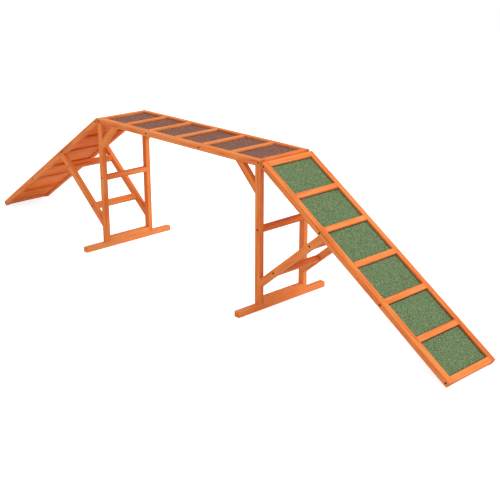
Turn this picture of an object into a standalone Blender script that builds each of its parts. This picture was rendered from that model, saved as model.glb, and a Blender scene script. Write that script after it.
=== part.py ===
"""Dog walk for agility training: a level platform on two stands, with a sloping ramp at each end.

Every deck is a ladder of two rails and seven slats with grit-faced panels let in between them. Slats 1, 3, 5
and 7 are full-depth cross members screwed through the rails. Slats 2, 4 and 6 are shallow treads on the
panels, each over a stiffening batten glued under the panel. The panels' edges sit in grooves in the rails.
A stand has two posts on a long foot, and a strut frame props each ramp from the posts.

Frame: +X along the walk, +Y away from the near side, +Z up, origin on the ground below the middle.
"""

from math import asin, atan2, cos, pi, radians, sin, tan

import bmesh
import bpy
from mathutils import Vector

# Decks
DECK_WIDTH = 0.300
PLATFORM_LENGTH = 1.185
PLATFORM_TOP = 0.682
RAMP_LENGTH = 1.198
RAIL_THICKNESS = 0.0265
RAIL_HEIGHT = 0.028
SLAT_COUNT = 7
SLAT_WIDTH = 0.026
SLAT_DEPTH = 0.026
TREAD_DEPTH = 0.010
PANEL_THICKNESS = 0.0085
PANEL_TONGUE = 0.005
GROOVE_DEPTH = 0.006

# Stands, with the screws from stretcher to foot measured from the posts' inner faces
TIMBER_WIDTH = 0.0315
TIMBER_THICKNESS = 0.0245
FOOT_LENGTH = 0.546
FOOT_WIDTH = 0.0295
FOOT_HEIGHT = 0.027
MID_RAIL_HEIGHT = 0.3724
FOOT_SCREW_INSET = 0.041
BRACE_DROP = 0.122
BRACE_ANGLE = radians(45)

# Strut frames, with the places of the two cross rails measured along the strut from the post
STRUT_FOOT_HEIGHT = 0.1295
STRUT_REACH = 0.420
STRUT_RAIL_LOWER = 0.1095
STRUT_RAIL_UPPER = 0.382

# Gaps between pieces, eased edges and the countersinks of the screws
JOINT_GAP = 0.0003
ARRIS = 0.0016
ARRIS_SEGMENTS = 2
SINK_RADIUS = 0.0040
SINK_TIP_RADIUS = 0.0010
SINK_DEPTH = 0.0040
SINK_SIDES = 12
CUTTER_OVERRUN = 0.002

# What follows from the sizes above
HALF_PLATFORM = PLATFORM_LENGTH / 2
POST_TOP = PLATFORM_TOP - RAIL_HEIGHT
POST_MIDDLE = HALF_PLATFORM - TIMBER_WIDTH / 2
POST_INNER = HALF_PLATFORM - TIMBER_WIDTH
RAMP_ANGLE = asin(POST_TOP / RAMP_LENGTH)
RAMP_SEAT = HALF_PLATFORM + JOINT_GAP
SIDE_Y = (DECK_WIDTH - TIMBER_THICKNESS) / 2
POST_SPAN = DECK_WIDTH - 2 * TIMBER_THICKNESS - 2 * JOINT_GAP
RAIL_SPAN = DECK_WIDTH - 2 * RAIL_THICKNESS

# Finishes, as linear colours
STAIN = (0.76, 0.25, 0.065)
GREEN_GRIT = (0.16, 0.26, 0.115)
MAUVE_GRIT = (0.26, 0.145, 0.135)
TIMBER_ROUGHNESS = 0.55
GRIT_ROUGHNESS = 0.9


def clear_scene():
    for thing in list(bpy.data.objects):
        bpy.data.objects.remove(thing, do_unlink=True)


def finish(thing, colour, roughness):
    material = bpy.data.materials.new(thing.name)
    material.use_nodes = True
    shader = material.node_tree.nodes["Principled BSDF"]
    shader.inputs["Base Color"].default_value = (*colour, 1)
    shader.inputs["Roughness"].default_value = roughness
    shader.inputs["Metallic"].default_value = 0.0
    thing.data.materials.append(material)


def empty(name, location, turn=(0, 0, 0), parent=None):
    """A frame that its pieces are parented to."""
    frame = bpy.data.objects.new(name, None)
    bpy.context.collection.objects.link(frame)
    frame.location = location
    frame.rotation_euler = turn
    frame.parent = parent
    return frame


def new_object(name, bm, location, parent, turn=(0, 0, 0)):
    mesh = bpy.data.meshes.new(name)
    bm.normal_update()
    bmesh.ops.recalc_face_normals(bm, faces=bm.faces)
    bm.to_mesh(mesh)
    bm.free()
    thing = bpy.data.objects.new(name, mesh)
    bpy.context.collection.objects.link(thing)
    thing.location = location
    thing.rotation_euler = turn
    thing.parent = parent
    return thing


def stick_mesh(size, start_slant, end_slant):
    """A length of timber along local X. A slant moves an end's corners along X by slant times their height."""
    length, width, height = size
    bm = bmesh.new()
    weight = bm.edges.layers.float.new("bevel_weight_edge")
    corners = [(-1, -1), (1, -1), (1, 1), (-1, 1)]
    rings = []
    for along, slant in ((-length / 2, start_slant), (length / 2, end_slant)):
        ring = []
        for side, up in corners:
            z = up * height / 2
            ring.append(bm.verts.new((along + slant * z, side * width / 2, z)))
        rings.append(ring)
    start, end = rings
    bm.faces.new(start)
    bm.faces.new(end)
    for i in range(4):
        j = (i + 1) % 4
        bm.faces.new((start[i], start[j], end[j], end[i]))
    for first, last in zip(start, end):
        bm.edges.get((first, last))[weight] = 1.0
    return bm


def stick(name, size, location, parent, turn=(0, 0, 0), slants=(0.0, 0.0)):
    """A stained timber whose long edges are eased and whose ends stay as sawn."""
    thing = new_object(name, stick_mesh(size, *slants), location, parent, turn)
    bevel = thing.modifiers.new("Arrises", "BEVEL")
    bevel.width = ARRIS
    bevel.segments = ARRIS_SEGMENTS
    bevel.limit_method = "WEIGHT"
    finish(thing, STAIN, TIMBER_ROUGHNESS)
    return thing


def cross_stick(name, size, location, parent, tilt=0.0):
    """A stick that runs across the walk. It is tilted about its own length."""
    return stick(name, size, location, parent, turn=(tilt, 0, pi / 2))


def cutter(name, bm, parent):
    thing = new_object(name, bm, (0, 0, 0), parent)
    thing.hide_render = True
    thing.display_type = "WIRE"
    return thing


def cut(thing, tool, operation="DIFFERENCE"):
    boolean = thing.modifiers.new(tool.name, "BOOLEAN")
    boolean.operation = operation
    boolean.object = tool
    boolean.solver = "EXACT"


def add_box(bm, low, high):
    size = Vector(high) - Vector(low)
    middle = (Vector(high) + Vector(low)) / 2
    made = bmesh.ops.create_cube(bm, size=1.0)
    bmesh.ops.scale(bm, vec=size, verts=made["verts"])
    bmesh.ops.translate(bm, vec=middle, verts=made["verts"])


def add_countersink(bm, place, outward):
    """A cone let into a face at place. Its wide end faces outward, the face's own direction."""
    slope = (SINK_RADIUS - SINK_TIP_RADIUS) / SINK_DEPTH
    made = bmesh.ops.create_cone(
        bm,
        cap_ends=True,
        segments=SINK_SIDES,
        radius1=SINK_TIP_RADIUS,
        radius2=SINK_RADIUS + slope * CUTTER_OVERRUN,
        depth=SINK_DEPTH + CUTTER_OVERRUN,
    )
    centre = Vector((0, 0, (CUTTER_OVERRUN - SINK_DEPTH) / 2))
    turn = Vector((0, 0, 1)).rotation_difference(Vector(outward))
    for vert in made["verts"]:
        vert.co = Vector(place) + turn @ (vert.co + centre)


def sink_screws(thing, places, outward):
    """Countersinks at places in the piece's own frame, all in faces that look outward."""
    bm = bmesh.new()
    for place in places:
        add_countersink(bm, place, outward)
    cut(thing, cutter(f"{thing.name}_sinks", bm, thing))


def slat_places(length):
    """Where the slats' centre lines cross a deck of this length, from its start."""
    pitch = (length - SLAT_WIDTH) / (SLAT_COUNT - 1)
    return [SLAT_WIDTH / 2 + i * pitch for i in range(SLAT_COUNT)]


def member_places(length):
    """Every other slat is a full-depth cross member, from the first to the last."""
    return slat_places(length)[::2]


def deck_rail(name, length, side, frame):
    """side is -1 or 1 along the deck's own Y. The groove stops at the end slats."""
    middle = (length / 2, side * (DECK_WIDTH - RAIL_THICKNESS) / 2, -RAIL_HEIGHT / 2)
    rail = stick(name, (length, RAIL_THICKNESS, RAIL_HEIGHT), middle, frame)
    inner = -side * RAIL_THICKNESS / 2
    floor = inner + side * GROOVE_DEPTH
    mouth = inner - side * CUTTER_OVERRUN
    top = RAIL_HEIGHT / 2 - TREAD_DEPTH + JOINT_GAP
    bottom = top - PANEL_THICKNESS - 2 * JOINT_GAP
    half = length / 2 - SLAT_WIDTH
    groove = bmesh.new()
    add_box(groove, (-half, min(floor, mouth), bottom), (half, max(floor, mouth), top))
    cut(rail, cutter(f"{name}_groove", groove, rail))
    outer = side * RAIL_THICKNESS / 2
    sink_screws(rail, [(x - length / 2, outer, 0) for x in member_places(length)], (0, side, 0))


def deck_slats(name, length, frame):
    span = RAIL_SPAN - 2 * JOINT_GAP
    members = member_places(length)
    for i, x in enumerate(slat_places(length)):
        depth = SLAT_DEPTH if x in members else TREAD_DEPTH - JOINT_GAP
        cross_stick(f"{name}_slat_{i + 1}", (span, SLAT_WIDTH, depth), (x, 0, -depth / 2), frame)


def deck_panel(name, start, end, frame, grit):
    """A board two bays long from one cross member to the next, with the batten glued under its middle."""
    half_length = (end - start) / 2 - JOINT_GAP
    half_width = RAIL_SPAN / 2 + PANEL_TONGUE
    half_thick = PANEL_THICKNESS / 2
    board = bmesh.new()
    add_box(board, (-half_length, -half_width, -half_thick), (half_length, half_width, half_thick))
    panel = new_object(name, board, ((start + end) / 2, 0, -TREAD_DEPTH - half_thick), frame)
    batten_half = RAIL_SPAN / 2 - JOINT_GAP
    batten_low = TREAD_DEPTH + half_thick - SLAT_DEPTH
    batten = bmesh.new()
    add_box(batten, (-SLAT_WIDTH / 2, -batten_half, batten_low), (SLAT_WIDTH / 2, batten_half, 0))
    cut(panel, cutter(f"{name}_batten", batten, panel), "UNION")
    finish(panel, grit, GRIT_ROUGHNESS)


def deck(name, length, frame, near, grit):
    """A deck in its own frame: X along it from one end, the walking face at Z 0. near is the near rail's side."""
    deck_rail(f"{name}_rail_near", length, near, frame)
    deck_rail(f"{name}_rail_far", length, -near, frame)
    deck_slats(name, length, frame)
    members = member_places(length)
    for i, (first, last) in enumerate(zip(members, members[1:])):
        start = first + SLAT_WIDTH / 2
        deck_panel(f"{name}_panel_{i + 1}", start, last - SLAT_WIDTH / 2, frame, grit)


def diagonal(name, foot, length, rise, y, frame, heading, slants):
    """A sloping stick from foot, a point (x, z) on its centre line, towards heading (-1 or 1 along X)."""
    middle_x = foot[0] + heading * cos(rise) * length / 2
    middle_z = foot[1] + sin(rise) * length / 2
    turn = (0, -rise, 0 if heading > 0 else pi)
    size = (length, TIMBER_THICKNESS, TIMBER_WIDTH)
    return stick(name, size, (middle_x, y, middle_z), frame, turn, slants)


def knee_brace(name, y, frame):
    """From the post's inner face up to the underside of the platform rail."""
    half_cut = TIMBER_WIDTH / 2 / cos(BRACE_ANGLE)
    foot_x = POST_INNER - JOINT_GAP
    foot_z = POST_TOP - BRACE_DROP + half_cut
    length = (POST_TOP - JOINT_GAP - foot_z) / sin(BRACE_ANGLE)
    slants = (tan(BRACE_ANGLE), -1 / tan(BRACE_ANGLE))
    diagonal(name, (foot_x, foot_z), length, BRACE_ANGLE, y, frame, -1, slants)


def stand(name, frame, near):
    """Two posts on a foot, a stretcher on the foot, a mid rail and two knee braces, in the frame of one end."""
    foot_size = (FOOT_LENGTH, FOOT_WIDTH, FOOT_HEIGHT)
    foot_place = (HALF_PLATFORM - FOOT_WIDTH / 2, 0, FOOT_HEIGHT / 2)
    cross_stick(f"{name}_foot", foot_size, foot_place, frame)
    foot_top = FOOT_HEIGHT + JOINT_GAP
    post_length = POST_TOP - JOINT_GAP - foot_top
    post_z = foot_top + post_length / 2
    for side, word in ((near, "near"), (-near, "far")):
        # A post's own X is up, and its own Z is along the walk
        size = (post_length, TIMBER_THICKNESS, TIMBER_WIDTH)
        place = (POST_MIDDLE, side * SIDE_Y, post_z)
        post = stick(f"{name}_post_{word}", size, place, frame, turn=(0, -pi / 2, 0))
        outer = side * TIMBER_THICKNESS / 2
        sink_screws(post, [(MID_RAIL_HEIGHT - post_z, outer, 0)], (0, side, 0))
        knee_brace(f"{name}_brace_{word}", side * SIDE_Y, frame)
    across = (POST_SPAN, TIMBER_WIDTH, TIMBER_THICKNESS)
    cross_stick(f"{name}_mid_rail", across, (POST_MIDDLE, 0, MID_RAIL_HEIGHT), frame)
    stretcher_place = (POST_MIDDLE, 0, foot_top + TIMBER_THICKNESS / 2)
    stretcher = cross_stick(f"{name}_stretcher", across, stretcher_place, frame)
    screw_along = POST_SPAN / 2 - FOOT_SCREW_INSET
    top = TIMBER_THICKNESS / 2
    sink_screws(stretcher, [(-screw_along, 0, top), (screw_along, 0, top)], (0, 0, 1))


def strut_line():
    """Foot (x, z), rise and length of a strut's centre line, from the post's face to the ramp's underside."""
    foot = Vector((HALF_PLATFORM + JOINT_GAP, STRUT_FOOT_HEIGHT))
    seat = Vector((RAMP_SEAT, POST_TOP))
    down_ramp = Vector((cos(RAMP_ANGLE), -sin(RAMP_ANGLE)))
    below = Vector((-sin(RAMP_ANGLE), -cos(RAMP_ANGLE)))
    head = seat + down_ramp * STRUT_REACH + below * JOINT_GAP
    run = head - foot
    return foot, atan2(run.y, run.x), run.length


def strut_frame(name, frame, near):
    """Two struts with mitred ends and two cross rails, screwed through the struts' outer faces."""
    foot, rise, length = strut_line()
    slants = (tan(rise), -1 / tan(rise + RAMP_ANGLE))
    rails = (("lower", STRUT_RAIL_LOWER), ("upper", STRUT_RAIL_UPPER))
    for side, word in ((near, "near"), (-near, "far")):
        strut = diagonal(f"{name}_{word}", foot, length, rise, side * SIDE_Y, frame, 1, slants)
        places = [(along - length / 2, side * TIMBER_THICKNESS / 2, 0) for _, along in rails]
        sink_screws(strut, places, (0, side, 0))
    across = (POST_SPAN, TIMBER_WIDTH, TIMBER_THICKNESS)
    for word, along in rails:
        centre = (foot[0] + along * cos(rise), 0, foot[1] + along * sin(rise))
        cross_stick(f"{name}_rail_{word}", across, centre, frame, tilt=rise - pi / 2)


def build():
    clear_scene()
    platform = empty("platform_frame", (-HALF_PLATFORM, 0, PLATFORM_TOP))
    deck("platform", PLATFORM_LENGTH, platform, -1, MAUVE_GRIT)
    # The upper end of a ramp's walking face lies a rail's height square above its seat on the post
    ramp_top = (RAMP_SEAT + RAIL_HEIGHT * sin(RAMP_ANGLE), 0, POST_TOP + RAIL_HEIGHT * cos(RAMP_ANGLE))
    for name, turn, near in (("right", 0, -1), ("left", pi, 1)):
        end = empty(f"{name}_end", (0, 0, 0), (0, 0, turn))
        stand(f"{name}_stand", end, near)
        strut_frame(f"{name}_strut", end, near)
        slope = empty(f"{name}_ramp_frame", ramp_top, (0, RAMP_ANGLE, 0), end)
        deck(f"{name}_ramp", RAMP_LENGTH, slope, near, GREEN_GRIT)


build()
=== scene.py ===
# %% [markdown]
# # A wooden dog walk, dressed
#
# The object is a dog walk: a level platform on two stands with a sloping ramp at each end. Its timber is
# planed softwood with an orange-brown stain, its walking boards carry mineral grit felt, and its joints
# are held by countersunk screws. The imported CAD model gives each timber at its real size. This script
# loads it as a fixed frame and gives it its looks: grain, stain, grit and screws.

import bpy
import numpy as np
from mathutils import Matrix


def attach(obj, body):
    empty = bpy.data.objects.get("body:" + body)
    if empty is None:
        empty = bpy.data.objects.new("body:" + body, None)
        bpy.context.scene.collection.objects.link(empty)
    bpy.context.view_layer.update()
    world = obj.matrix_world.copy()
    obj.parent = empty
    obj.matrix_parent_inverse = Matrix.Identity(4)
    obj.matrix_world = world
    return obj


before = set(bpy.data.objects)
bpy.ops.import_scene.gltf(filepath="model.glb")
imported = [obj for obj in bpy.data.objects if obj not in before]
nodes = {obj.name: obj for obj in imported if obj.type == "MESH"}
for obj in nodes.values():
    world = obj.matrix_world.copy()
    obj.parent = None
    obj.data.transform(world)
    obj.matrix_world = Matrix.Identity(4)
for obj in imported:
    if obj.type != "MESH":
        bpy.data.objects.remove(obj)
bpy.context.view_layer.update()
scene = bpy.context.scene
print(len(nodes), "CAD nodes")

# %% [markdown]
# ## The camera
#
# The camera was worked out from the photograph: a pinhole camera and the sizes of the walk were fitted
# together to points on the timber's edges. It stands off the near right corner at 1.7 m and looks slightly
# down. A lens of 70 mm, far back, keeps the far ramp in proportion. A camera's rotation starts from looking
# straight down, so the pitch is counted from a quarter turn about X.

# %% Set the camera
CAMERA_PLACE = (3.4818, -2.9140, 1.7007)
CAMERA_YAW = 0.81811
CAMERA_PITCH = -0.34035
FOCAL_PIXELS = 981.01
IMAGE_PIXELS = 500
SENSOR_MM = 36.0

camera_data = bpy.data.cameras.new("camera")
camera_data.sensor_width = SENSOR_MM
camera_data.lens = FOCAL_PIXELS / IMAGE_PIXELS * SENSOR_MM
camera = bpy.data.objects.new("camera", camera_data)
camera.location = CAMERA_PLACE
camera.rotation_euler = (np.pi / 2 + CAMERA_PITCH, 0, CAMERA_YAW)
scene.collection.objects.link(camera)
scene.camera = camera
scene.view_settings.view_transform = "Standard"
print("lens", round(camera_data.lens, 1), "mm")

# %% [markdown]
# ## The sky, and helpers for shader nodes
#
# A material or world in Blender is a tree of nodes, which is long to write out. So the first helper adds
# one node, sets its choices and fills its inputs: a number or colour is written into the socket, and a
# socket of another node is linked to it. Each effect below then reads as a short list of steps.
#
# The photograph has a white studio background. The world therefore shows white to the camera and to glossy
# rays only, and lights the object at a plain level, soft from all round.

# %% Light the sky
WHITE = (1, 1, 1, 1)
SKY_LIGHT = 0.86


def add_node(tree, kind, inputs=None, **choices):
    """Adds a node of this kind. inputs maps a socket's name or number to a value or to another socket."""
    node = tree.nodes.new(kind)
    for choice, value in choices.items():
        setattr(node, choice, value)
    for key, value in (inputs or {}).items():
        if isinstance(value, bpy.types.NodeSocket):
            tree.links.new(value, node.inputs[key])
        else:
            node.inputs[key].default_value = value
    return node


def maths(tree, operation, *values, clamp=False):
    """The output of a Math node over one to three values or sockets."""
    inputs = dict(enumerate(values))
    return add_node(tree, "ShaderNodeMath", inputs, operation=operation, use_clamp=clamp).outputs[0]


def seen(tree):
    """1 for camera rays and glossy rays, and 0 for all others: the larger of two outputs of Light Path."""
    ray = add_node(tree, "ShaderNodeLightPath").outputs
    return maths(tree, "MAXIMUM", ray["Is Camera Ray"], ray["Is Glossy Ray"])


world = bpy.data.worlds.new("studio")
world.use_nodes = True
scene.world = world
sky_tree = world.node_tree
sky_tree.nodes.clear()
shown = add_node(sky_tree, "ShaderNodeBackground", {"Color": WHITE, "Strength": 1.0})
sky = add_node(sky_tree, "ShaderNodeBackground", {"Color": WHITE, "Strength": SKY_LIGHT})
skies = {0: seen(sky_tree), 1: sky.outputs[0], 2: shown.outputs[0]}
mixed = add_node(sky_tree, "ShaderNodeMixShader", skies)
add_node(sky_tree, "ShaderNodeOutputWorld", {"Surface": mixed.outputs[0]})
print("the sky lights with", SKY_LIGHT, "of the white that it shows")

# %% [markdown]
# ## The softbox
#
# One broad lamp stands for the studio's softbox. It stands beyond the right end and a little behind, so
# that the end faces are brighter than the long near sides and the right ramp shades its own stand, as in
# the photograph. A sun lamp does this: it lights the whole walk evenly, and its wide angle makes soft
# shadows.

# %% Hang the softbox
KEY_LIGHT = 1.2
KEY_SIDE = np.radians(20)
KEY_HEIGHT = np.radians(35)
KEY_ANGLE = np.radians(30)

key_data = bpy.data.lights.new("softbox", "SUN")
key_data.energy = KEY_LIGHT
key_data.angle = KEY_ANGLE
key = bpy.data.objects.new("softbox", key_data)
key.rotation_euler = (np.pi / 2 - KEY_HEIGHT, 0, np.pi / 2 + KEY_SIDE)
scene.collection.objects.link(key)
print("softbox of strength", KEY_LIGHT, "at", round(np.degrees(KEY_HEIGHT)), "degrees up")

# %% [markdown]
# ## The floor
#
# The floor is a pale sheet under the feet. Its own glow lifts it to the white of the background, and the
# rest of its brightness comes from the lamps, so that the object still throws a faint shadow on it. Orange
# timber throws orange light there, so the glow is a little cool, and the shadow comes out grey. The floor
# isn't part of the object.

# %% Lay the floor
FLOOR_HALF = 9.0
FLOOR_GLOW = 0.74
GLOW_COLOUR = (0.76, 0.95, 1.0, 1)
FLOOR_COLOUR = (0.80, 0.85, 0.88, 1)


def pale_floor():
    """A matt sheet plus a glow that only camera rays and glossy rays meet."""
    material = bpy.data.materials.new("pale_floor")
    material.use_nodes = True
    tree = material.node_tree
    tree.nodes.clear()
    paper = add_node(tree, "ShaderNodeBsdfDiffuse", {"Color": FLOOR_COLOUR})
    strength = maths(tree, "MULTIPLY", seen(tree), FLOOR_GLOW)
    glow = add_node(tree, "ShaderNodeEmission", {"Color": GLOW_COLOUR, "Strength": strength})
    both = add_node(tree, "ShaderNodeAddShader", {0: paper.outputs[0], 1: glow.outputs[0]})
    add_node(tree, "ShaderNodeOutputMaterial", {"Surface": both.outputs[0]})
    return material


floor_mesh = bpy.data.meshes.new("floor")
corners = [(x * FLOOR_HALF, y * FLOOR_HALF, 0) for x, y in ((-1, -1), (1, -1), (1, 1), (-1, 1))]
floor_mesh.from_pydata(corners, [], [(0, 1, 2, 3)])
floor = bpy.data.objects.new("floor", floor_mesh)
floor.data.materials.append(pale_floor())
scene.collection.objects.link(floor)
print("floor", 2 * FLOOR_HALF, "m wide")

# %% [markdown]
# ## Each timber's own frame
#
# Grain runs along a timber, whichever way the timber points, so each one needs its own axes: along, across
# and through. The CAD mesh lies in the frame of the whole object, and every timber is turned about the Y
# axis only. So the frame can be measured: of all turns about Y, the right one makes the timber's box
# least. A search in two rounds, coarse and then fine, finds it to a thousandth of a degree.

# %% Measure each timber's own frame
TURN_SEARCH = ((45.0, 0.25), (0.5, 0.001))


def mesh_points(name):
    """A node's points as rows of x, y and z."""
    mesh = nodes[name].data
    flat = np.empty(len(mesh.vertices) * 3, np.float32)
    mesh.vertices.foreach_get("co", flat)
    return flat.reshape(-1, 3).astype(float)


def box_area(points, turns):
    """Area in the XZ plane of the box round the points, for each turn about Y."""
    cosine, sine = np.cos(turns)[:, None], np.sin(turns)[:, None]
    u = points[:, 0] * cosine - points[:, 2] * sine
    v = points[:, 0] * sine + points[:, 2] * cosine
    return np.ptp(u, axis=1) * np.ptp(v, axis=1)


def own_frame(name):
    """(axes as rows with the longest first, centre, half sizes) of a timber or board. Each round of the
    search tries turns within its reach of the best so far, one step apart."""
    points = mesh_points(name)
    turn = 0.0
    for reach, step in TURN_SEARCH:
        turns = np.radians(np.arange(-reach, reach, step)) + turn
        turn = turns[np.argmin(box_area(points, turns))]
    axes = np.array([(np.cos(turn), 0, -np.sin(turn)), (0, 1, 0), (np.sin(turn), 0, np.cos(turn))])
    axes = axes[np.argsort(-np.ptp(points @ axes.T, axis=0))]
    axes[2] *= np.linalg.det(axes)
    places = points @ axes.T
    low, high = places.min(0), places.max(0)
    return axes, (low + high) / 2 @ axes, (high - low) / 2


frames = {name: own_frame(name) for name in nodes}
slope = np.degrees(np.arcsin(abs(frames["right_ramp_rail_near"][0][0][2])))
print("the ramps slope", round(slope, 2), "degrees")

# %% [markdown]
# ## Helpers for node groups
#
# An effect that many materials share is written once, as a node group. It works like a function: its
# inputs and outputs are named, and its steps are linked between them. Four more helpers keep the steps
# short: the arithmetic of vectors, one axis of a vector, a noise, and a value that goes from one level to
# another.

# %% Helpers for node groups
FLOAT, VECTOR, COLOUR = "NodeSocketFloat", "NodeSocketVector", "NodeSocketColor"


def new_group(name, inputs, outputs):
    """(group, sockets of its inputs, sockets of its outputs) from (name, type, default) for each input and
    (name, type) for each output."""
    group = bpy.data.node_groups.new(name, "ShaderNodeTree")
    for label, kind, default in inputs:
        socket = group.interface.new_socket(label, in_out="INPUT", socket_type=kind)
        if default is not None:
            socket.default_value = default
    for label, kind in outputs:
        group.interface.new_socket(label, in_out="OUTPUT", socket_type=kind)
    start = group.nodes.new("NodeGroupInput")
    end = group.nodes.new("NodeGroupOutput")
    return group, start.outputs, end.inputs


def vector_maths(tree, operation, *values):
    """The output of a Vector Math node: a number for a length or a dot product, and else a vector."""
    node = add_node(tree, "ShaderNodeVectorMath", dict(enumerate(values)), operation=operation)
    return node.outputs["Value" if operation in ("LENGTH", "DOT_PRODUCT") else "Vector"]


def one_axis(tree, vector, axis):
    """The X, Y or Z of a vector."""
    return add_node(tree, "ShaderNodeSeparateXYZ", {0: vector}).outputs[axis]


def noise(tree, place, scale, detail=2.0, roughness=0.5):
    """The outputs of a noise that fills space: Fac is a number from 0 to 1, and Color is three of them."""
    inputs = {"Vector": place, "Scale": scale, "Detail": detail, "Roughness": roughness}
    return add_node(tree, "ShaderNodeTexNoise", inputs).outputs


def ramp_between(tree, value, start, stop, first=1.0, last=0.0, smooth=False):
    """first where the value is up to start, last from stop on, and a straight or smooth way between."""
    inputs = {"Value": value, "From Min": start, "From Max": stop, "To Min": first, "To Max": last}
    kind = "SMOOTHSTEP" if smooth else "LINEAR"
    return add_node(tree, "ShaderNodeMapRange", inputs, interpolation_type=kind).outputs["Result"]


# %% [markdown]
# ## Branches in the trunk
#
# A knot is a branch, a rod that runs out from the pith. A trunk grows its branches in whorls, so its
# length is divided into whorls, and the whorl's number draws that branch's place, side and thickness. More
# than half of the whorls draw a branch of no thickness, and some of the others miss the timber, so knots
# stay few.

# %% Steps that find the nearest branch
WHORL_SPACING = 0.34
WHORL_JITTER = 0.6
BARE_WHORLS = 0.6
BRANCH_SPREAD = 0.022
BRANCH_LEAN = 0.35
BRANCH_RADIUS = 0.0062
NOISE_MIDDLE = (0.5, 0.5, 0.5)
ACROSS_TRUNK = (0, 1, 1)


def branch(tree, place, pith):
    """(distance from the whorl's branch, radius of that branch) at a place that is counted from the pith.
    The branch starts on the pith near the whorl's middle, goes out towards the timber and leans along the
    trunk. The distance is the root of two squares: how far the place lies beside the branch, and how far
    along the trunk from it."""
    x = one_axis(tree, place, "X")
    whorl = maths(tree, "FLOOR", maths(tree, "DIVIDE", x, WHORL_SPACING))
    drawn = add_node(tree, "ShaderNodeTexWhiteNoise", {"W": whorl}, noise_dimensions="1D").outputs
    centred = vector_maths(tree, "SUBTRACT", drawn["Color"], NOISE_MIDDLE)
    shift = maths(tree, "MULTIPLY", one_axis(tree, centred, "X"), WHORL_JITTER)
    middle = maths(tree, "ADD", maths(tree, "ADD", whorl, 0.5), shift)
    middle = maths(tree, "MULTIPLY", middle, WHORL_SPACING)
    aim = vector_maths(tree, "MULTIPLY", centred, (0, BRANCH_SPREAD, BRANCH_SPREAD))
    aim = vector_maths(tree, "ADD", aim, vector_maths(tree, "MULTIPLY", pith, ACROSS_TRUNK))
    aim = vector_maths(tree, "NORMALIZE", aim)
    across = vector_maths(tree, "MULTIPLY", place, ACROSS_TRUNK)
    beside = vector_maths(tree, "CROSS_PRODUCT", across, aim)
    lean = maths(tree, "MULTIPLY", vector_maths(tree, "DOT_PRODUCT", across, aim), BRANCH_LEAN)
    along = maths(tree, "SUBTRACT", maths(tree, "SUBTRACT", x, middle), lean)
    # The cross product points along X, so the other offset goes into Y, square to it.
    square = add_node(tree, "ShaderNodeCombineXYZ", {"Y": along}).outputs[0]
    distance = vector_maths(tree, "LENGTH", vector_maths(tree, "ADD", beside, square))
    return distance, ramp_between(tree, drawn["Value"], BARE_WHORLS, 1.0, 0.0, BRANCH_RADIUS)


print("a whorl in each", WHORL_SPACING, "m of trunk, and a share of", BARE_WHORLS, "of them is bare")

# %% [markdown]
# ## Softwood grain
#
# A plank is cut from a trunk, and the trunk's growth rings are nested tubes round the pith. In the
# timber's own frame the distance from the pith line, divided by a ring's width, counts the rings. Each
# ring goes slowly from pale early wood to dark late wood and then starts anew, which is a sawtooth raised
# to a power. A slow noise bends the tubes, or the lines would be as straight as print. Near a branch the
# rings swell round it, and inside it they are the branch's own. Fibres, streaks and patches are noise
# drawn out along the timber. Because the pattern fills space, sides and sawn ends show the same rings and
# meet at the edges.

# %% Node group for softwood grain
RING_WIDTH = 0.0026
BEND = 0.007
BEND_SCALE = (1.6, 9.0, 9.0)
BARK_INSET = 0.001
BARK_WIDTH = 0.0009
BRANCH_RING = 0.0011
SWELL_REACH = 0.016
LATE_POWER = 3.0
LATE_TOP = 0.93
GRAIN_SCALES = {"Fibre": (14, 900, 900), "Streak": (2.2, 70, 70), "Patch": (7, 38, 38)}
FINE_DETAIL = 3.0


def softwood_grain():
    """Late is 0 to 1 across a ring, Knot is 1 in a branch, Fibre, Streak and Patch are noises along the
    grain, and Height, for the bump, is the mean of late wood and fibre."""
    inputs = [("Place", VECTOR, None), ("Pith", VECTOR, None), ("Ring Width", FLOAT, RING_WIDTH)]
    labels = ("Late", "Knot", "Fibre", "Streak", "Patch", "Height")
    tree, given, result = new_group("softwood_grain", inputs, [(label, FLOAT) for label in labels])
    place = vector_maths(tree, "ADD", given["Place"], given["Pith"])
    slow = noise(tree, vector_maths(tree, "MULTIPLY", place, BEND_SCALE), 1.0)["Color"]
    push = vector_maths(tree, "SUBTRACT", slow, NOISE_MIDDLE)
    bent = vector_maths(tree, "ADD", place, vector_maths(tree, "MULTIPLY", push, (0, BEND, BEND)))
    distance, thickness = branch(tree, bent, given["Pith"])
    core = maths(tree, "SUBTRACT", thickness, BARK_INSET)
    knot = ramp_between(tree, distance, core, maths(tree, "ADD", core, BARK_WIDTH), smooth=True)
    swell_end = maths(tree, "ADD", thickness, SWELL_REACH)
    swell = ramp_between(tree, distance, thickness, swell_end, smooth=True)
    radius = vector_maths(tree, "LENGTH", vector_maths(tree, "MULTIPLY", bent, ACROSS_TRUNK))
    radius = maths(tree, "MULTIPLY_ADD", swell, thickness, radius)
    trunk_rings = maths(tree, "DIVIDE", radius, given["Ring Width"])
    branch_rings = maths(tree, "DIVIDE", distance, BRANCH_RING)
    rings = add_node(tree, "ShaderNodeMix", {0: knot, 2: trunk_rings, 3: branch_rings}).outputs[0]
    phase = maths(tree, "FRACT", rings)
    fall = ramp_between(tree, phase, LATE_TOP, 1.0)
    late = maths(tree, "MULTIPLY", maths(tree, "POWER", phase, LATE_POWER), fall)
    found = {"Late": late, "Knot": knot}
    for label, scales in GRAIN_SCALES.items():
        found[label] = noise(tree, vector_maths(tree, "MULTIPLY", place, scales), 1.0, FINE_DETAIL)["Fac"]
    found["Height"] = maths(tree, "MULTIPLY", maths(tree, "ADD", late, found["Fibre"]), 0.5)
    for label, socket in found.items():
        tree.links.new(socket, result[label])
    return tree


GRAIN = softwood_grain()
print("softwood grain:", len(GRAIN.nodes), "nodes")
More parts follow.
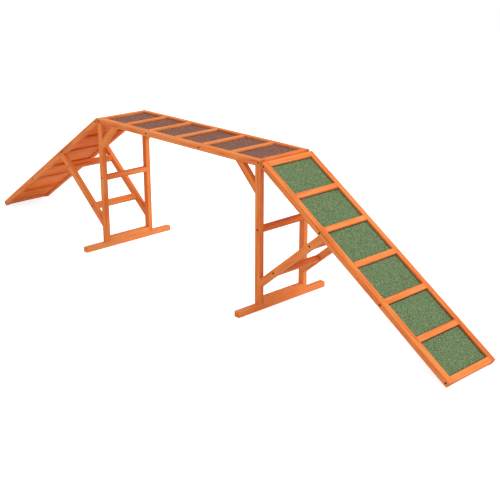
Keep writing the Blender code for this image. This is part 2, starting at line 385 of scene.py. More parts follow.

# %% [markdown]
# ## Painted highlights on the edges
#
# A planed timber has its long edges eased, and here and there an edge is painted a shade paler than the
# faces: a painted highlight along the arris. In the timber's own frame this needs no geometry: a point on a
# face is some distance from the nearest long edge, which is the larger of its distances from the box's side
# and top planes.

# %% Node group for painted highlights on the edges
HIGHLIGHT_REACH = 0.0024
HIGHLIGHT_SCALE = 60.0


def highlighted_edge():
    """The painted highlight: 1 on a long edge, falling to 0 at a reach from it, which is Reach times twice
    a noise.
    """
    inputs = [("Place", VECTOR, None), ("Half Size", VECTOR, None), ("Reach", FLOAT, HIGHLIGHT_REACH)]
    tree, given, result = new_group("highlighted_edge", inputs, [("Edge Highlight", FLOAT)])
    size = vector_maths(tree, "ABSOLUTE", given["Place"])
    left = vector_maths(tree, "SUBTRACT", given["Half Size"], size)
    distance = maths(tree, "MAXIMUM", one_axis(tree, left, "Y"), one_axis(tree, left, "Z"))
    patchy = maths(tree, "MULTIPLY", noise(tree, given["Place"], HIGHLIGHT_SCALE)["Fac"], 2.0)
    reach = maths(tree, "MULTIPLY", given["Reach"], patchy)
    tree.links.new(ramp_between(tree, distance, 0.0, reach, smooth=True), result["Edge Highlight"])
    return tree


EDGE_HIGHLIGHT = highlighted_edge()
print("highlighted edges:", len(EDGE_HIGHLIGHT.nodes), "nodes")

# %% [markdown]
# ## Dark rings round the screws
#
# Steel and damp softwood make a grey-black stain, and the countersink round a head lies in shade, so a
# faint
# dark ring is painted round a screw: partly iron stain, partly painted shade. A timber's screws stand in a
# row at one spacing, and a modulo folds the whole row onto the first screw. What is left is the distance
# from one point, along and across the timber.

# %% Node group for the rings round the screws
# A ring round each screw, painted dark: iron stain, and painted shade of the countersink.
RING_INNER = 0.0040
RING_OUTER = 0.0068
RING_NOISE_SCALE = 350.0
RING_NOISE_SPREAD = 0.003


def screw_stain_and_shade():
    """Ring is 1 up to the screw's head and falls to 0 a few millimetres out, where a noise moves its
    margin. The row of screws starts at First along the timber and goes on by Spacing. Sideways picks the
    timber's own axis that lies across the face. The distance is the root of the squares along and
    across."""
    inputs = [("Place", VECTOR, None), ("First", FLOAT, 0.0), ("Spacing", FLOAT, 1.0)]
    inputs += [("Sideways", VECTOR, None)]
    tree, given, result = new_group("screw_stain_and_shade", inputs, [("Ring", FLOAT)])
    half = maths(tree, "MULTIPLY", given["Spacing"], 0.5)
    from_first = maths(tree, "SUBTRACT", one_axis(tree, given["Place"], "X"), given["First"])
    folded = maths(tree, "FLOORED_MODULO", maths(tree, "ADD", from_first, half), given["Spacing"])
    along = maths(tree, "SUBTRACT", folded, half)
    across = vector_maths(tree, "DOT_PRODUCT", given["Place"], given["Sideways"])
    squares = maths(tree, "MULTIPLY_ADD", across, across, maths(tree, "MULTIPLY", along, along))
    distance = maths(tree, "SQRT", squares)
    ring_noise = noise(tree, given["Place"], RING_NOISE_SCALE)["Fac"]
    reach = maths(tree, "MULTIPLY_ADD", ring_noise, RING_NOISE_SPREAD, RING_OUTER - RING_NOISE_SPREAD / 2)
    tree.links.new(ramp_between(tree, distance, RING_INNER, reach, smooth=True), result["Ring"])
    return tree


SCREW_STAIN_AND_SHADE = screw_stain_and_shade()
print("rings round the screws:", len(SCREW_STAIN_AND_SHADE.nodes), "nodes")

# %% [markdown]
# ## The orange stain
#
# The stain is translucent, so the wood shows through it. Late wood takes it darker, streaks and patches of
# the trunk take more or less of it, and sawn end grain drinks it and goes deep and dull. The long edges are
# painted paler, a painted highlight, and the battens deeper, a painted shade. A knot is dense and
# red-brown, with a dark rim of bark. Round the screws the wood goes near-black, partly iron stain and
# partly painted shade. All that makes the stain deeper is added up first, and one number then picks the
# colour, which keeps the whole walk in the colours of one tin of stain. The colours are written as linear
# values, as shader sockets want them.

# %% Node group for the stain
STAIN_PALE = (0.77, 0.327, 0.114, 1)
STAIN_FULL = (0.85, 0.239, 0.061, 1)
STAIN_DEEP = (0.58, 0.118, 0.026, 1)
KNOT_HEART = (0.46, 0.115, 0.028, 1)
KNOT_BARK = (0.24, 0.062, 0.018, 1)
# Near-black round the screws: iron stain, and painted shade of the countersink.
IRON_STAIN_AND_SHADE = (0.060, 0.022, 0.012, 1)
LATE_WEIGHT = 0.5
# End grain's depth; the battens' painted shade comes in through it too.
END_AND_BATTEN_WEIGHT = 0.55
STAIN_WEIGHTS = {"Fibre": 0.6, "Streak": 2.4, "Patch": 2.0, "Tone": 1.2}
BASE_DEPTH = 0.04
# How much paler the long edges are painted: a painted highlight.
HIGHLIGHT_WEIGHT = 0.45
HEART_WEIGHT = 0.7
BARK_WEIGHT = 3.0
# How far the screws' rings go towards it: iron stain and painted shade.
IRON_STAIN_AND_SHADE_WEIGHT = 0.65
BASE_ROUGHNESS = 0.46
FIBRE_ROUGHNESS = 0.16
END_ROUGHNESS = 0.2


def mix_colours(tree, share, first, second):
    """The colour between first and second, where share goes from 0 to 1."""
    inputs = {"Factor": share, 6: first, 7: second}
    return add_node(tree, "ShaderNodeMix", inputs, data_type="RGBA").outputs[2]


def orange_stain():
    """The stained wood's colour and roughness. The depth of the stain is a weighted sum of grain, streaks,
    patches, end grain with the batten's painted shade, and tone: above 0 it goes from full to deep, and
    below 0 from full to pale. The long edges are then painted paler, a painted highlight, and the screws'
    rings go near-black, iron stain with painted shade. Roughness is a weighted sum of fibre and end grain."""
    masks = ("Late", "Knot", "Fibre", "Streak", "Patch", "Edge Highlight", "End", "Ring")
    inputs = [(label, FLOAT, 0.0) for label in masks] + [("Tone", FLOAT, 0.5)]
    inputs += [("Pale", COLOUR, STAIN_PALE), ("Full", COLOUR, STAIN_FULL), ("Deep", COLOUR, STAIN_DEEP)]
    tree, given, result = new_group("orange_stain", inputs, [("Color", COLOUR), ("Roughness", FLOAT)])
    depth = maths(tree, "MULTIPLY", given["End"], END_AND_BATTEN_WEIGHT)
    depth = maths(tree, "MULTIPLY_ADD", given["Late"], LATE_WEIGHT, depth)
    for label, weight in STAIN_WEIGHTS.items():
        spread = maths(tree, "SUBTRACT", given[label], 0.5)
        depth = maths(tree, "MULTIPLY_ADD", spread, weight, depth)
    deeper = maths(tree, "ADD", depth, BASE_DEPTH, clamp=True)
    paler = maths(tree, "SUBTRACT", 0.0, depth, clamp=True)
    # The long edges are painted paler here: a painted highlight.
    paler = maths(tree, "MULTIPLY_ADD", given["Edge Highlight"], HIGHLIGHT_WEIGHT, paler, clamp=True)
    wood = mix_colours(tree, paler, mix_colours(tree, deeper, given["Full"], given["Deep"]), given["Pale"])
    heart = mix_colours(tree, maths(tree, "MULTIPLY", given["Knot"], HEART_WEIGHT), wood, KNOT_HEART)
    rim = maths(tree, "MULTIPLY", given["Knot"], maths(tree, "SUBTRACT", 1.0, given["Knot"]))
    bark = mix_colours(tree, maths(tree, "MULTIPLY", rim, BARK_WEIGHT, clamp=True), heart, KNOT_BARK)
    # Round the screws the colour goes near-black: iron stain and painted shade.
    ringed = mix_colours(tree, maths(tree, "MULTIPLY", given["Ring"], IRON_STAIN_AND_SHADE_WEIGHT), bark, IRON_STAIN_AND_SHADE)
    tree.links.new(ringed, result["Color"])
    rough = maths(tree, "MULTIPLY_ADD", given["Fibre"], FIBRE_ROUGHNESS, BASE_ROUGHNESS)
    rough = maths(tree, "MULTIPLY_ADD", given["End"], END_ROUGHNESS, rough)
    tree.links.new(rough, result["Roughness"])
    return tree


STAIN = orange_stain()
print("orange stain:", len(STAIN.nodes), "nodes")

# %% [markdown]
# ## A deck's own frame
#
# Felt and screws are placed from the timbers themselves. A deck's two rails give its middle and its three
# directions: along it, across it and out of its walking face. The slats' places are then read along it.

# %% Measure the decks
DECKS = ("platform", "left_ramp", "right_ramp")


def deck_frame(deck):
    """(origin on the plane of the rails' tops, along, across, out) of a deck."""
    axes, near_centre, _ = frames[f"{deck}_rail_near"]
    far_centre = frames[f"{deck}_rail_far"][1]
    along = axes[0] * np.sign(axes[0][0])
    across = np.array([0.0, 1.0, 0.0])
    out = np.cross(along, across)
    rise = np.ptp(mesh_points(f"{deck}_rail_near") @ out) / 2
    return (near_centre + far_centre) / 2 + out * rise, along, across, out


def deck_span(name, deck_axes):
    """(lowest, highest) place of a node in a deck's own frame."""
    origin, *axes = deck_axes
    places = (mesh_points(name) - origin) @ np.array(axes).T
    return places.min(0), places.max(0)


decks = {deck: deck_frame(deck) for deck in DECKS}
for deck in DECKS:
    recess = -deck_span(f"{deck}_panel_1", decks[deck])[1][2]
    print(deck, "boards lie", round(recess * 1000, 1), "mm below the rails' tops")

# %% [markdown]
# ## Where the screws stand
#
# A screw goes through one timber into the end of another. Both are known, so the screws need no list of
# places: each stands on the carrier's centre line, at the point nearest to the held timber's centre. In a
# deck every second slat is a full-depth cross member and takes screws. The slats between them are shallow
# treads on top of the boards and take none.

# %% Work out the screws' places along their timbers
SLATS = 7


def screw_rows():
    """For each timber with screws in its side: their places along it, counted from its middle."""
    held = {}
    for deck in DECKS:
        for word in ("near", "far"):
            held[f"{deck}_rail_{word}"] = [f"{deck}_slat_{i}" for i in range(1, SLATS + 1, 2)]
    for end in ("left", "right"):
        for word in ("near", "far"):
            held[f"{end}_stand_post_{word}"] = [f"{end}_stand_mid_rail"]
            held[f"{end}_strut_{word}"] = [f"{end}_strut_rail_lower", f"{end}_strut_rail_upper"]
    rows = {}
    for carrier, timbers in held.items():
        axes, centre, _ = frames[carrier]
        rows[carrier] = sorted((frames[timber][1] - centre) @ axes[0] for timber in timbers)
    return rows


ROWS = screw_rows()
print(sum(len(row) for row in ROWS.values()), "screws in side faces")

# %% [markdown]
# ## Each timber's place in a trunk, and its tone
#
# No two timbers show the same rings, because each was sawn from another place in a trunk. So the pith gets
# a seeded random place beside the timber. The boards are plywood, peeled from a trunk, so their pith is
# far and their rings are cut in wide flames. Each timber also comes from another plank and takes the stain
# in its own way, so it gets a tone. Tones are drawn at random, a little paler for the slats, which paints
# the highlight on their lit tops, except for those timbers that stand out as pale or deep in the
# photograph. Those set tones take in light and shade as well as stain, so they are partly painted light
# and shade: the left ramp's boards are paler at the low end and deeper at the high end, and two of its
# cross members are deeper, which paints the dark bands under the slats.

# %% Draw a timber's pith and tone
chance = np.random.default_rng(7)
ALONG_TRUNK = (0, 20)
TIMBER_PITH = ((-0.06, 0.06), (0.012, 0.05))
BOARD_PITH = ((-0.05, 0.05), (0.2, 0.3))
TONE_SPREAD = 0.1
USUAL_TONE = 0.5
# The slats are drawn paler, which paints the highlight on their lit tops.
SLAT_HIGHLIGHT_TONE = 0.42
TONES_AND_PAINTED_LIGHT = {
    "platform_rail_near": 0.42,
    "right_ramp_rail_near": 0.55,
    "left_stand_foot": 0.15,
    "left_stand_stretcher": 0.15,
    "left_stand_post_near": 0.58,
    "left_stand_post_far": 0.4,
    "left_strut_rail_lower": 0.25,
    # The left ramp's boards: paler at the low end, deeper at the high end, painted light and shade along
    # the underside.
    "left_ramp_panel_3": 0.3,
    "left_ramp_panel_1": 0.65,
    # Two cross members set deeper: painted shade for the dark bands under the slats.
    "left_ramp_slat_3": 0.85,
    "left_ramp_slat_5": 0.85,
    "right_stand_foot": 0.28,
    "right_stand_stretcher": 0.15,
    "right_stand_post_near": 0.52,
    "right_stand_post_far": 0.4,
    "right_stand_mid_rail": 0.8,
    "right_strut_near": 0.42,
    "right_strut_far": 0.35,
}


def draw_pith(board):
    """A random place along the trunk, and the pith's place beside a timber or far below a board."""
    beside, below = BOARD_PITH if board else TIMBER_PITH
    return chance.uniform(*ALONG_TRUNK), chance.uniform(*beside), chance.uniform(*below)


def draw_tone(name):
    """The tone that the photograph shows, or else a random one about the usual. The draw is made for every
    timber, so that a new entry in TONES_AND_PAINTED_LIGHT leaves the others as they are."""
    usual = SLAT_HIGHLIGHT_TONE if "_slat_" in name else USUAL_TONE
    drawn = usual + chance.uniform(-TONE_SPREAD, TONE_SPREAD)
    return TONES_AND_PAINTED_LIGHT.get(name, drawn)


print(len(TONES_AND_PAINTED_LIGHT), "tones are set from the photograph, and", len(nodes) - len(TONES_AND_PAINTED_LIGHT), "are drawn")

# %% [markdown]
# ## The boards
#
# The boards took more stain than the timbers, and their grain runs across the deck, from rail to rail. So
# a board gets the deck's axes instead of its own. The CAD joins each board with the batten under it. It
# hangs below the board's underside, so height alone tells them apart: what lies below is painted deep, as
# end grain is and more so, which paints the shade of the dark bands under the slats.

# %% Stain and frame of a board
BOARD_STAIN = {
    "Pale": (0.93, 0.285, 0.055, 1),
    "Full": (0.90, 0.215, 0.036, 1),
    "Deep": (0.64, 0.105, 0.015, 1),
}
BOARD_RING = 0.009
BOARD_SHEEN = 0.03
BOARD_STREAKS = 0.25
BATTEN_SEAM = 0.0004
# How deep the batten is painted: painted shade for the dark bands under the slats.
BATTEN_SHADE = 1.2
HEIGHT_DIGITS = 4


def board_frame(name):
    """(axes with the grain from rail to rail, half sizes, height of the board's underside) of a board. Its
    points lie at few heights, and the lowest but one is the underside, from which the batten hangs."""
    _, centre, half = frames[name]
    _, along, across, out = decks[name.split("_panel_")[0]]
    heights = np.unique(np.round((mesh_points(name) - centre) @ out, HEIGHT_DIGITS))
    return np.array([across, -along, out]), half[[1, 0, 2]], heights[1]


def batten_shade_mask(tree, place, underside):
    """The batten's painted shade below the board's underside, and 0 above it."""
    return ramp_between(tree, one_axis(tree, place, "Z"), underside - BATTEN_SEAM, underside, BATTEN_SHADE)


hang = board_frame("platform_panel_1")[2] + frames["platform_panel_1"][2][2]
print("a batten hangs", round(hang * 1000, 1), "mm below its board")

# %% [markdown]
# ## Masks for ends and screws
#
# A mask is a number from 0 to 1 that says where an effect shows. A face is end grain where its normal
# points along the timber. The rings round the screws, iron stain and painted shade, come from their group,
# which is told where the timber's row of screws starts and how it is spaced.

# %% Masks for ends and screws
END_GRAIN = (0.25, 0.6)
LONE_SPACING = 10.0


def placed_group(tree, group, inputs):
    """The outputs of a node group that is placed in a material's tree."""
    return add_node(tree, "ShaderNodeGroup", inputs, node_tree=group).outputs


def end_mask(tree, normal, along):
    """0 on long faces and 1 on ends: it rises with the size of the normal's part along the timber."""
    facing = maths(tree, "ABSOLUTE", vector_maths(tree, "DOT_PRODUCT", normal, tuple(along)))
    return ramp_between(tree, facing, *END_GRAIN, 0.0, 1.0)


def screw_stain_and_shade_mask(tree, place, axes, row):
    """1 at the screws of a row, for the dark ring of iron stain and painted shade. They point along Y, so
    the way across their face is square to Y and to the timber's length. A screw alone gets a spacing longer
    than its timber."""
    spacing = row[1] - row[0] if len(row) > 1 else LONE_SPACING
    sideways = np.cross(axes @ (0, 1, 0), (1, 0, 0))
    inputs = {"Place": place, "First": row[0], "Spacing": spacing, "Sideways": sideways}
    return placed_group(tree, SCREW_STAIN_AND_SHADE, inputs)["Ring"]


least, full = np.degrees(np.arcsin(END_GRAIN)).round()
print("end grain starts", least, "degrees off a long face and is full at", full)

# %% [markdown]
# ## Staining every timber
#
# A Mapping node turns object coordinates into a timber's own frame: its rotation is the frame's axes, and
# its location moves the timber's centre to zero. The masks of grain, edges, ends and screws are collected
# by name, and one stain group takes them all.

# %% Stain the CAD timbers
TIMBER_SHEEN = 0.035
BUMP_HEIGHT = 0.00012


def new_material(name, sheen):
    """(material, its tree, its shader) with this strength of mirrored light."""
    material = bpy.data.materials.new(name)
    material.use_nodes = True
    shader = material.node_tree.nodes["Principled BSDF"]
    shader.inputs["Specular IOR Level"].default_value = sheen
    return material, material.node_tree, shader


def stained_timber(name):
    """A material for one timber or board, with its own frame, pith and tone. A board's streaks keep only a
    share of their spread about a half."""
    axes, centre, half = frames[name]
    board = "_panel_" in name
    if board:
        axes, half, underside = board_frame(name)
    material, tree, shader = new_material(f"stained_{name}", BOARD_SHEEN if board else TIMBER_SHEEN)
    where = add_node(tree, "ShaderNodeTexCoord").outputs
    turn = Matrix(axes.tolist()).to_euler("XYZ")
    mapping = {"Vector": where["Object"], "Rotation": turn, "Location": tuple(-axes @ centre)}
    place = add_node(tree, "ShaderNodeMapping", mapping).outputs["Vector"]
    trunk = {"Place": place, "Pith": draw_pith(board), "Ring Width": BOARD_RING if board else RING_WIDTH}
    grain = placed_group(tree, GRAIN, trunk)
    masks = {label: grain[label] for label in ("Late", "Knot", "Fibre", "Streak", "Patch")}
    # The long edges painted paler: a painted highlight.
    masks["Edge Highlight"] = placed_group(tree, EDGE_HIGHLIGHT, {"Place": place, "Half Size": tuple(half)})["Edge Highlight"]
    masks["End"] = end_mask(tree, where["Normal"], axes[0])
    # The dark rings round the screws: iron stain and painted shade.
    if name in ROWS:
        masks["Ring"] = screw_stain_and_shade_mask(tree, place, axes, ROWS[name])
    if board:
        lift = (1 - BOARD_STREAKS) / 2
        masks["Streak"] = maths(tree, "MULTIPLY_ADD", grain["Streak"], BOARD_STREAKS, lift)
        # The batten below the board is painted deep: painted shade for the dark bands under the slats.
        masks["End"] = maths(tree, "MAXIMUM", masks["End"], batten_shade_mask(tree, place, underside))
        masks.update(BOARD_STAIN)
    stain = placed_group(tree, STAIN, {**masks, "Tone": draw_tone(name)})
    tree.links.new(stain["Color"], shader.inputs["Base Color"])
    tree.links.new(stain["Roughness"], shader.inputs["Roughness"])
    bump = add_node(tree, "ShaderNodeBump", {"Height": grain["Height"], "Distance": BUMP_HEIGHT})
    tree.links.new(bump.outputs["Normal"], shader.inputs["Normal"])
    return material


for name, timber in sorted(nodes.items()):
    timber.data.materials.clear()
    timber.data.materials.append(stained_timber(name))
print(len(nodes), "timbers and boards stained")

# %% [markdown]
# ## The top of a felt sheet
#
# The walking boards carry roofing felt faced with crushed mineral, glued down in one sheet a bay. A bump
# in the material alone would leave the sheet's outline flat, so its surface is real: a grid over the bay
# whose height is seeded noise, a bumpy skin under a millimetre deep. The cut edges wander a little, which
# a slow sum of sines gives.

# %% Work out the top of a felt sheet
FELT_THICKNESS = 0.0007
FELT_SPACING = 0.0022
FELT_GAP = 0.0006
GRIT_HEIGHT = 0.00035
CUT_WANDER = 0.0004
CUT_WAVES = np.array([0.11, 0.043, 0.017])


def smoothed(field):
    """A field averaged with its four neighbours, where it counts twice itself. Edges are repeated."""
    wide = np.pad(field, 1, mode="edge")
    return (wide[:-2, 1:-1] + wide[2:, 1:-1] + wide[1:-1, :-2] + wide[1:-1, 2:] + 2 * field) / 6


def wandering(places, phases):
    """A cut line's offset: half a sum of three sines of unlike wavelengths, with seeded phases."""
    return CUT_WANDER * np.sin(2 * np.pi * places[:, None] / CUT_WAVES + phases).sum(axis=1) / 2


def felt_top(low, high):
    """(points on a grid, each one's distance from the nearest cut edge) over the box low to high. The
    height is the thickness plus smoothed noise. x moves by the offsets of the first and last cut line,
    mixed by how far along the point lies, and so does y."""
    counts = [int((high[i] - low[i]) / FELT_SPACING) for i in (0, 1)]
    u, v = np.meshgrid(*[np.linspace(0, 1, count) for count in counts], indexing="ij")
    middle, half = (low + high) / 2, (high - low) / 2 - FELT_GAP
    phases = chance.uniform(0, 2 * np.pi, (4, len(CUT_WAVES)))
    x, y = (2 * u - 1) * half[0], (2 * v - 1) * half[1]
    from_edge = np.minimum(half[0] - np.abs(x), half[1] - np.abs(y))
    x += (1 - u) * wandering(y[0], phases[0])[None, :] + u * wandering(y[0], phases[1])[None, :]
    y += (1 - v) * wandering(x[:, 0], phases[2])[:, None] + v * wandering(x[:, 0], phases[3])[:, None]
    bumps = smoothed(chance.normal(0, 1, u.shape)) * GRIT_HEIGHT
    return np.stack([middle[0] + x, middle[1] + y, low[2] + FELT_THICKNESS + bumps], axis=-1), from_edge


most = CUT_WANDER * len(CUT_WAVES) / 2
print("a cut line wanders by", round(most * 1000, 2), "mm at most, in a gap of", FELT_GAP * 1000, "mm")

# %% [markdown]
# ## A closed sheet
#
# A sheet of felt is a solid, so the bumpy top is closed by its sides and a flat back. The rim of the grid
# is walked once round, and the back repeats it at the board's height. Each point also carries its distance
# from the nearest cut edge, which the material uses for the bare margin.

# %% Close the sheet and make it a piece
def closed_sheet(top, back_height):
    """(points, faces, number of faces on top) of a grid of points that is closed by a strip of sides
    round its rim and by one flat face at the back's height."""
    index = np.arange(top.size // 3).reshape(top.shape[:2])
    four = [index[:-1, :-1], index[1:, :-1], index[1:, 1:], index[:-1, 1:]]
    quads = np.stack(four, axis=-1).reshape(-1, 4)
    rim = np.concatenate([index[:-1, 0], index[-1, :-1], index[:0:-1, -1], index[0, :0:-1]])
    points = top.reshape(-1, 3)
    back = points[rim]
    back[:, 2] = back_height
    back_index = index.size + np.arange(len(rim))
    sides = np.stack([rim, back_index, np.roll(back_index, -1), np.roll(rim, -1)], axis=-1)
    faces = quads.tolist() + sides.tolist() + [back_index[::-1].tolist()]
    return np.concatenate([points, back]), faces, len(quads)


def new_piece(name, points, faces, material):
    """An object at the origin with these points and faces."""
    mesh = bpy.data.meshes.new(name)
    mesh.from_pydata(points.tolist(), [], faces)
    mesh.materials.append(material)
    piece = bpy.data.objects.new(name, mesh)
    scene.collection.objects.link(piece)
    return piece


def felt_sheet(name, deck_axes, low, high, material):
    """A closed sheet over the box low to high in a deck's frame, from the board up. A point of the scene
    is the deck's origin plus the place's parts along, across and out. Only the top is shaded smooth."""
    top, from_edge = felt_top(low, high)
    points, faces, top_faces = closed_sheet(top, low[2])
    origin, *axes = deck_axes
    sheet = new_piece(name, origin + points @ np.array(axes), faces, material)
    sheet.data.polygons.foreach_set("use_smooth", np.arange(len(faces)) < top_faces)
    margin = sheet.data.attributes.new("from_edge", "FLOAT", "POINT")
    on_back = np.zeros(len(points) - from_edge.size)
    margin.data.foreach_set("value", np.concatenate([from_edge.ravel(), on_back]))
    return sheet


_, sample, sample_top = closed_sheet(np.zeros((3, 4, 3)), 0.0)
print(sample_top, "faces on top and", len(sample) - sample_top, "to close them")

# %% [markdown]
# ## The grit
#
# The granules are crushed and coloured stone, a mix of several shades, about two millimetres across.
# Voronoi cells are such a mix, because each cell gets one random number. A slower noise makes the clumps
# that are seen from further away. The distance from a granule's middle gives its dome, and far from any
# middle the colour goes dark: the bitumen between the granules, with painted shade on the granules' rims
# and in the crevices between them.

# %% Node group for grit
GRANULE_SCALE = 480.0
GAP_SPAN = (0.45, 0.85)
CLUMP_SCALE = 260.0
CLUMP_ROUGHNESS = 0.6


def grit():
    """Pick is one random number a granule, Gap rises to 1 from a granule's rim into the bitumen between
    granules, where it also paints shade, Clump is a slow unevenness, and Height is a dome a granule: 1 less
    the square of the distance from its middle."""
    labels = ("Pick", "Gap", "Clump", "Height")
    inputs = [("Place", VECTOR, None), ("Scale", FLOAT, GRANULE_SCALE)]
    tree, given, result = new_group("grit", inputs, [(label, FLOAT) for label in labels])
    voronoi = {"Vector": given["Place"], "Scale": given["Scale"]}
    cells = add_node(tree, "ShaderNodeTexVoronoi", voronoi).outputs
    pick = add_node(tree, "ShaderNodeSeparateColor", {0: cells["Color"]}).outputs[0]
    away = cells["Distance"]
    # The rims of the granules go dark towards the gaps: bitumen, and painted shade.
    gap = ramp_between(tree, away, *GAP_SPAN, 0.0, 1.0, smooth=True)
    clump = noise(tree, given["Place"], CLUMP_SCALE, FINE_DETAIL, CLUMP_ROUGHNESS)["Fac"]
    height = maths(tree, "SUBTRACT", 1.0, maths(tree, "MULTIPLY", away, away), clamp=True)
    for label, socket in zip(labels, (pick, gap, clump, height)):
        tree.links.new(socket, result[label])
    return tree


GRIT = grit()
print("grit:", len(GRIT.nodes), "nodes")

# %% [markdown]
# ## The look of the felt
#
# The ramps are faced in green and the platform in mauve-brown. A stepped colour ramp deals out the shades
# by their share: each shade starts at a number and holds up to the next one's. Clumps make the shades
# lighter and darker. Near-black shows between the granules, bitumen with painted shade, and in a ragged
# margin along every cut edge, which paints the shade in the corners where the felt meets rails and slats.

# %% Make the felt's material
GREEN_SHADES = [
    (0.00, (0.087, 0.157, 0.059, 1)),
    (0.30, (0.147, 0.260, 0.101, 1)),
    (0.62, (0.206, 0.317, 0.160, 1)),
    (0.84, (0.312, 0.242, 0.154, 1)),
    (0.93, (0.337, 0.363, 0.261, 1)),
]
MAUVE_SHADES = [
    (0.00, (0.190, 0.075, 0.052, 1)),
    (0.30, (0.285, 0.122, 0.080, 1)),
    (0.62, (0.375, 0.158, 0.105, 1)),
    (0.84, (0.300, 0.200, 0.185, 1)),
    (0.93, (0.450, 0.290, 0.250, 1)),
]
# Near-black of bitumen, used between granules and in the margin along the cut edges, where it also paints
# shade.
BITUMEN_AND_SHADE = (0.030, 0.022, 0.017, 1)
CLUMP_SPAN = (0.3, 0.7)
CLUMP_LIGHT = (0.7, 1.3)
SHADED_MARGIN = 0.0028
MARGIN_BLUR = 0.0012
GAP_SHARE = 0.8
FELT_ROUGHNESS = 0.92
FELT_SHEEN = 0.1
GRANULE_BUMP = 0.0006


def dealt_shade(tree, pick, shades):
    """The shade that a number picks: the last one that starts at or below it."""
    ramp = add_node(tree, "ShaderNodeValToRGB", {"Fac": pick})
    ramp.color_ramp.interpolation = "CONSTANT"
    stops = ramp.color_ramp.elements
    stops.remove(stops[-1])
    for i, (start, shade) in enumerate(shades):
        stop = stops[0] if i == 0 else stops.new(start)
        stop.color = shade
    return ramp.outputs["Color"]


def grit_felt(name, shades):
    """Felt in these shades, times the clumps' light. Near-black shows by the larger of two shares: the gap
    between granules, bitumen with painted shade, and the margin, painted shade, which is as wide as twice
    the margin width times the clump's noise."""
    material, tree, shader = new_material(name, FELT_SHEEN)
    shader.inputs["Roughness"].default_value = FELT_ROUGHNESS
    where = add_node(tree, "ShaderNodeTexCoord").outputs["Object"]
    stones = placed_group(tree, GRIT, {"Place": where})
    light = ramp_between(tree, stones["Clump"], *CLUMP_SPAN, *CLUMP_LIGHT)
    lit = {0: dealt_shade(tree, stones["Pick"], shades), "Scale": light}
    shade = add_node(tree, "ShaderNodeVectorMath", lit, operation="SCALE").outputs[0]
    from_edge = add_node(tree, "ShaderNodeAttribute", attribute_name="from_edge").outputs["Fac"]
    # A ragged near-black margin along the cut edges: painted shade in the corners where the felt meets
    # rails and slats.
    ragged = maths(tree, "MULTIPLY", stones["Clump"], 2 * SHADED_MARGIN)
    bare = ramp_between(tree, from_edge, ragged, maths(tree, "ADD", ragged, MARGIN_BLUR))
    # Between granules: bitumen, and painted shade on their rims.
    bare = maths(tree, "MAXIMUM", bare, maths(tree, "MULTIPLY", stones["Gap"], GAP_SHARE))
    tree.links.new(mix_colours(tree, bare, shade, BITUMEN_AND_SHADE), shader.inputs["Base Color"])
    bump = add_node(tree, "ShaderNodeBump", {"Height": stones["Height"], "Distance": GRANULE_BUMP})
    tree.links.new(bump.outputs["Normal"], shader.inputs["Normal"])
    return material


looks = {"green_grit_panel": grit_felt("green_grit", GREEN_SHADES)}
looks["mauve_grit_panel"] = grit_felt("mauve_grit", MAUVE_SHADES)
print("felt in", len(looks), "mixes of", len(GREEN_SHADES), "shades")

# %% [markdown]
# ## Laying the felt
#
# A bay lies between two slats and the two rails, so its box is read from them: along the deck from one
# slat's high side to the next one's low side, and across it from end to end of the slat. The sheet starts
# on the board.

# %% Lay a felt sheet in every bay
for deck in DECKS:
    slot = "mauve_grit_panel" if deck == "platform" else "green_grit_panel"
    spans = [deck_span(f"{deck}_slat_{i}", decks[deck]) for i in range(1, SLATS + 1)]
    spans.sort(key=lambda span: span[0][0])
    board_top = deck_span(f"{deck}_panel_1", decks[deck])[1][2]
    for bay, (before, after) in enumerate(zip(spans, spans[1:]), 1):
        slat_low, slat_high = before
        low = np.array([slat_high[0], slat_low[1], board_top])
        high = np.array([after[0][0], slat_high[1], board_top])
        felt = felt_sheet(f"{deck}_felt_{bay}", decks[deck], low, high, looks[slot])
        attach(felt, "root")
    print(deck, "bay", np.round((high - low)[:2] * 1000, 1), "mm")

# %% [markdown]
# ## Screws
#
# Each screw is a black countersunk one with a cross recess, turned in until its head lies all but flush
# with the surface. Its head is a surface of revolution on a polar grid, and the recess is pressed into it
# by a formula: a point is inside the cross where it is near either of two crossed lines and not too far
# from the middle.

# %% Make a screw head
HEAD_RADIUS = 0.0042
HEAD_TIP = 0.0014
HEAD_DEPTH = 0.0030
HEAD_DOME = 0.00025
CROSS_REACH = 0.0021
CROSS_HALF = 0.00042
CROSS_DEPTH = 0.0012
HEAD_RINGS = 12
HEAD_SIDES = 40


def cross_recess(x, y):
    """Depth of the recess. A point's excess is the larger of two: its distance from the nearer line less a
    blade's half width, and its reach from the middle less the blade's. The recess is half deep where the
    excess is 0, and it fades over a quarter of the half width to either side."""
    blade = np.minimum(np.abs(x), np.abs(y)) - CROSS_HALF
    reach = np.maximum(np.abs(x), np.abs(y)) - CROSS_REACH
    return CROSS_DEPTH * np.clip(0.5 - np.maximum(blade, reach) / (0.5 * CROSS_HALF), 0, 1)


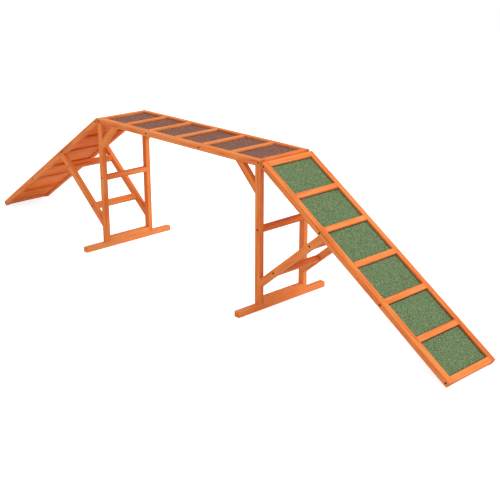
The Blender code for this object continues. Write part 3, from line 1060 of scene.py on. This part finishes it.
def screw_head(spin):
    """(points, faces) of a head whose rim lies at height 0, facing +Z, with its recess turned by spin. On
    rings and sides the height is a dome, 1 less the square of the radius, less the recess. A cone goes
    down from the rim to a small ring at the tip, and one face closes it there."""
    radii = np.linspace(0, 1, HEAD_RINGS + 1)[1:] * HEAD_RADIUS
    angle = np.arange(HEAD_SIDES) * 2 * np.pi / HEAD_SIDES
    r, a = np.meshgrid(radii, angle, indexing="ij")
    x, y = r * np.cos(a), r * np.sin(a)
    crown = HEAD_DOME * (1 - (r / HEAD_RADIUS) ** 2)
    z = crown - cross_recess(np.cos(spin) * x + np.sin(spin) * y, np.cos(spin) * y - np.sin(spin) * x)
    tip = [HEAD_TIP * np.cos(angle), HEAD_TIP * np.sin(angle), np.full(HEAD_SIDES, -HEAD_DEPTH)]
    rings = np.concatenate([np.stack([x, y, z], axis=-1), np.stack(tip, axis=-1)[None]])
    points = np.concatenate([[[0, 0, HEAD_DOME - CROSS_DEPTH]], rings.reshape(-1, 3)])
    index = 1 + np.arange(len(rings) * HEAD_SIDES).reshape(len(rings), HEAD_SIDES)
    after = np.roll(index, -1, axis=1)
    quads = np.stack([index[:-1], index[1:], after[1:], after[:-1]], axis=-1).reshape(-1, 4)
    middle = np.stack([np.zeros(HEAD_SIDES, int), index[0], after[0]], axis=-1)
    return points, middle.tolist() + quads.tolist() + [index[-1][::-1].tolist()]


print("a screw head has", len(screw_head(0)[0]), "points and", len(screw_head(0)[1]), "faces")

# %% [markdown]
# ## Black steel
#
# The screws are blackened against rust, and the coat is worn and a little uneven. Black on its own would
# show as a hole, so a fine noise goes between two near-black colours and makes some spots duller than
# others.

# %% Make the screws' material
STEEL_BLACK = (0.004, 0.003, 0.003, 1)
STEEL_WORN = (0.018, 0.014, 0.012, 1)
STEEL_SHEEN = 0.25
STEEL_ROUGHNESS = 0.42
WORN_ROUGHNESS = 0.3
WEAR_SCALE = 900.0


def black_steel():
    """Near-black steel, whose colour and roughness both rise with one noise."""
    material, tree, shader = new_material("black_steel", STEEL_SHEEN)
    where = add_node(tree, "ShaderNodeTexCoord").outputs["Object"]
    worn = noise(tree, where, WEAR_SCALE, FINE_DETAIL)["Fac"]
    tree.links.new(mix_colours(tree, worn, STEEL_BLACK, STEEL_WORN), shader.inputs["Base Color"])
    rough = maths(tree, "MULTIPLY_ADD", worn, WORN_ROUGHNESS, STEEL_ROUGHNESS)
    tree.links.new(rough, shader.inputs["Roughness"])
    return material


BLACK_STEEL = black_steel()
print("black steel:", len(BLACK_STEEL.node_tree.nodes), "nodes")

# %% [markdown]
# ## Driving the screws
#
# The heads sit in the timbers' outer faces, in the rows worked out above, and in the tops of the
# stretchers. Heads in one timber are one piece, and each is turned at random, as a driver leaves it. A
# cross looks the same after a quarter turn, so the turns are drawn within one.

# %% Drive the screws
HEAD_PROUD = 0.0001
FOOT_SCREW_INSET = 0.041


def screws(name, places, outward):
    """Makes one piece of screw heads at places, facing outward, and gives their number. A head's X points
    along the walk, its Z points outward, and its rim stands a little proud."""
    outward = np.array(outward, float)
    side = np.array([1.0, 0.0, 0.0])
    axes = np.array([side, np.cross(outward, side), outward])
    points, faces = [], []
    for i, place in enumerate(places):
        head, head_faces = screw_head(chance.uniform(0, np.pi / 2))
        points.append(np.array(place) + outward * HEAD_PROUD + head @ axes)
        faces += [[i * len(head) + corner for corner in face] for face in head_faces]
    piece = new_piece(name, np.concatenate(points), faces, BLACK_STEEL)
    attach(piece, "root")
    return len(places)


def side_screws(carrier, row):
    """Screws in a row along a carrier's centre line, moved out to its outer side face."""
    axes, centre, _ = frames[carrier]
    side = np.sign(centre[1])
    to_face = np.array([0, side * np.ptp(mesh_points(carrier)[:, 1]) / 2, 0])
    return screws(f"{carrier}_screws", [centre + axes[0] * along + to_face for along in row], (0, side, 0))


def foot_screws(stretcher):
    """Two screws down through a stretcher's top, each one inset from its end."""
    points = mesh_points(stretcher)
    low, high = points.min(0), points.max(0)
    middle = (low[0] + high[0]) / 2
    places = [(middle, y, high[2]) for y in (low[1] + FOOT_SCREW_INSET, high[1] - FOOT_SCREW_INSET)]
    return screws(f"{stretcher}_screws", places, (0, 0, 1))


driven = sum(side_screws(carrier, row) for carrier, row in ROWS.items())
driven += sum(foot_screws(f"{end}_stand_stretcher") for end in ("left", "right"))
print(driven, "screws driven")
